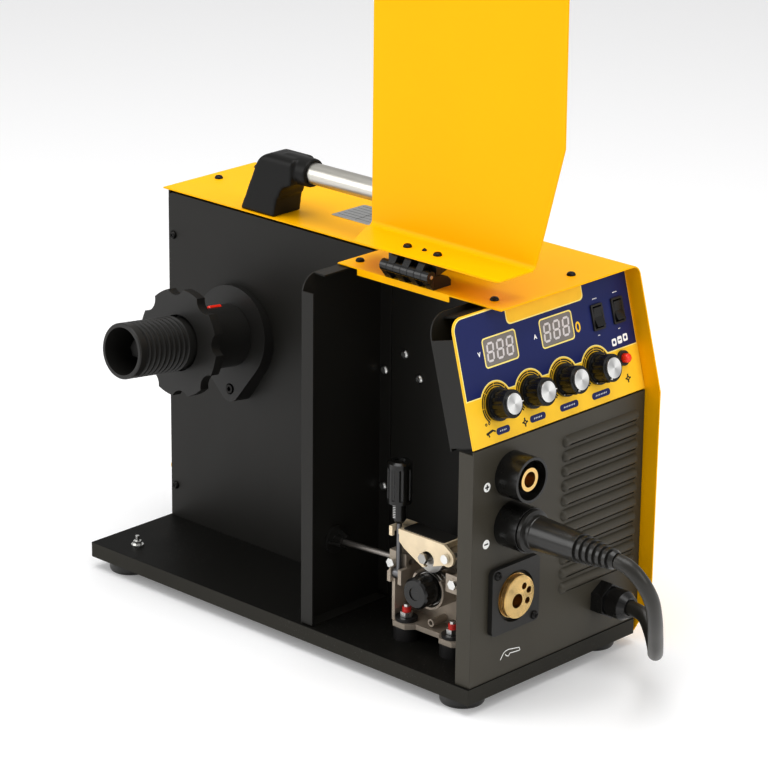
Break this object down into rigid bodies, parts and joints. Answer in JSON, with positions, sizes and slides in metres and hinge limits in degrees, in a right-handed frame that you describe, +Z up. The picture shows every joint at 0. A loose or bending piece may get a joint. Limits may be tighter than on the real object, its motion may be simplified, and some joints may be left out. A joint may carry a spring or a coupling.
{
  "type": "compact welding machine with wire feeder",
  "caption": "Portable wire welding machine with open spool bay, wire drive, spool hub, raised side door, carrying handle and front sockets.",
  "frame": {"origin": "on the ground, in the middle of the machine's outline without the polarity lead", "axes": "+X to the front with the sockets, +Y to the closed cover side, +Z up"},
  "size_m": [0.6637, 0.2773, 0.7165],
  "materials": {
    "black_sheet": "fine-textured powder coat",
    "front_sheet": "fine-textured powder coat",
    "yellow_paint": "smooth satin paint",
    "label_film": "printed film on sheet",
    "black_rubber": "matt",
    "lead_jacket": "matt",
    "black_plastic": "satin moulded",
    "knob_plastic": "satin moulded",
    "black_screws": "black oxide",
    "zinc": "bright zinc",
    "rolls": "ground steel",
    "bright_tube": "brushed",
    "casting": "die cast",
    "arm_casting": "die cast, warm light tone",
    "red_plastic": "gloss moulded",
    "insulator": "moulded",
    "motor": "dark paint",
    "brass": "machined",
    "circuit_board": "solder mask",
    "windings": "varnished"
  },
  "bodies": {
    "machine": {"base_pan": "black_sheet", "rubber_feet": "black_rubber", "divider": "black_sheet", "cross_wall": "black_sheet", "rear_panel": "black_sheet", "cover": "yellow_paint", "control_housing": "black_sheet", "control_panel": "label_film", "lower_panel": "front_sheet", "case_screws": "black_screws", "chassis_screws": "zinc", "hinge_leaf_fixed": "black_plastic", "hinge_pin": "zinc", "handle_brackets": "black_plastic", "handle_tube": "bright_tube", "hub_flange": "black_plastic", "hub_bolts": "black_screws", "brake_spring": "zinc", "inlet_grommet": "black_rubber", "inlet_tube": "zinc", "feed_body": "casting", "feed_studs": "zinc", "feed_insulators": "insulator", "gear_motor": "motor", "outlet_tube": "zinc", "torch_flange": "black_plastic", "torch_connector": "brass", "panel_sockets": "black_plastic", "socket_contacts": "brass", "polarity_plug": "black_rubber", "polarity_lead": "lead_jacket", "cable_glands": "black_plastic", "switch_bezels": "black_plastic", "control_board": "circuit_board", "fan_frame": "black_plastic", "power_module": "circuit_board", "transformer": "windings", "gas_valve": "brass", "mains_switch_frame": "black_plastic"},
    "door": {"door": "yellow_paint", "hinge_leaf_moving": "black_plastic"},
    "door_latch": {"door_latch": "black_plastic"},
    "spool_hub": {"spool_hub": "black_plastic", "hub_pin": "red_plastic"},
    "star_nut": {"star_nut": "black_plastic"},
    "pressure_arm": {"pressure_arm": "arm_casting"},
    "pressure_roller": {"pressure_roller": "rolls"},
    "tension_rod": {"tension_rod": "zinc"},
    "tension_knob": {"tension_knob": "black_plastic"},
    "drive_roll": {"drive_roll": "rolls", "roll_knob": "black_plastic"},
    "knob_current": {"knob_current": "knob_plastic"},
    "knob_voltage": {"knob_voltage": "knob_plastic"},
    "knob_inductance": {"knob_inductance": "knob_plastic"},
    "knob_burnback": {"knob_burnback": "knob_plastic"},
    "rocker_mode": {"rocker_mode": "knob_plastic"},
    "rocker_gas": {"rocker_gas": "knob_plastic"},
    "test_button": {"test_button": "red_plastic"},
    "fan_rotor": {"fan_rotor": "black_plastic"},
    "mains_rocker": {"mains_rocker": "red_plastic"}
  },
  "joints": [
    {"name": "door_swing", "type": "hinge", "parent": "machine", "child": "door", "pos_m": [0.122, -0.047, 0.366], "axis": [-1, 0, 0], "range_deg": [-180, 0]},
    {"name": "latch_turn", "type": "hinge", "parent": "door", "child": "door_latch", "pos_m": [0.065, -0.004, 0.632], "axis": [0, 1, 0], "range_deg": [0, 90]},
    {"name": "hub_spin", "type": "hinge", "parent": "machine", "child": "spool_hub", "pos_m": [-0.146, 0.0123, 0.2316], "axis": [0, -0.9925, 0.1219], "continuous": true},
    {"name": "star_nut_travel", "type": "slide", "parent": "spool_hub", "child": "star_nut", "axis": [0, -0.9925, 0.1219], "range_m": [0, 0.062]},
    {"name": "tension_swing", "type": "hinge", "parent": "machine", "child": "tension_rod", "pos_m": [0.1175, -0.048, 0.086], "axis": [1, 0, 0], "range_deg": [0, 85]},
    {"name": "tension_turn", "type": "hinge", "parent": "tension_rod", "child": "tension_knob", "pos_m": [0.1175, -0.048, 0.16], "axis": [0, 0, 1], "range_deg": [-720, 720]},
    {"name": "arm_lift", "type": "hinge", "parent": "machine", "child": "pressure_arm", "pos_m": [0.1785, -0.041, 0.1188], "axis": [0, 1, 0], "range_deg": [0, 25.5]},
    {"name": "drive_spin", "type": "hinge", "parent": "machine", "child": "drive_roll", "pos_m": [0.153, -0.041, 0.0815], "axis": [0, 1, 0], "continuous": true},
    {"name": "pressure_roller_spin", "type": "hinge", "parent": "pressure_arm", "child": "pressure_roller", "pos_m": [0.153, -0.041, 0.1122], "axis": [0, 1, 0], "continuous": true},
    {"name": "knob_current_turn", "type": "hinge", "parent": "machine", "child": "knob_current", "pos_m": [0.23843, -0.0515, 0.27597], "axis": [0.9668, 0, 0.2554], "range_deg": [-60, 240]},
    {"name": "knob_voltage_turn", "type": "hinge", "parent": "machine", "child": "knob_voltage", "pos_m": [0.23843, -0.0083, 0.27597], "axis": [0.9668, 0, 0.2554], "range_deg": [-60, 240]},
    {"name": "knob_inductance_turn", "type": "hinge", "parent": "machine", "child": "knob_inductance", "pos_m": [0.23843, 0.0349, 0.27597], "axis": [0.9668, 0, 0.2554], "range_deg": [-300, 0]},
    {"name": "knob_burnback_turn", "type": "hinge", "parent": "machine", "child": "knob_burnback", "pos_m": [0.23843, 0.0781, 0.27597], "axis": [0.9668, 0, 0.2554], "range_deg": [-300, 0]},
    {"name": "rocker_mode_tip", "type": "hinge", "parent": "machine", "child": "rocker_mode", "pos_m": [0.21781, 0.09, 0.31489], "axis": [0, 1, 0], "range_deg": [0, 15]},
    {"name": "rocker_gas_tip", "type": "hinge", "parent": "machine", "child": "rocker_gas", "pos_m": [0.21781, 0.117, 0.31489], "axis": [0, 1, 0], "range_deg": [0, 15]},
    {"name": "test_button_press", "type": "slide", "parent": "machine", "child": "test_button", "axis": [-0.9668, 0, -0.2554], "range_m": [0, 0.003], "stiffness_N_per_m": 300, "springref_m": -0.002},
    {"name": "fan_spin", "type": "hinge", "parent": "machine", "child": "fan_rotor", "pos_m": [-0.222, 0.075, 0.15], "axis": [1, 0, 0], "continuous": true},
    {"name": "mains_rocker_tip", "type": "hinge", "parent": "machine", "child": "mains_rocker", "pos_m": [-0.238, 0.075, 0.288], "axis": [0, -1, 0], "range_deg": [0, 14.5]}
  ],
  "couplings": [
    {"joint": "arm_lift", "follows": "tension_swing", "ratio": 0.3},
    {"joint": "pressure_roller_spin", "follows": "drive_spin", "ratio": -0.96774}
  ]
}
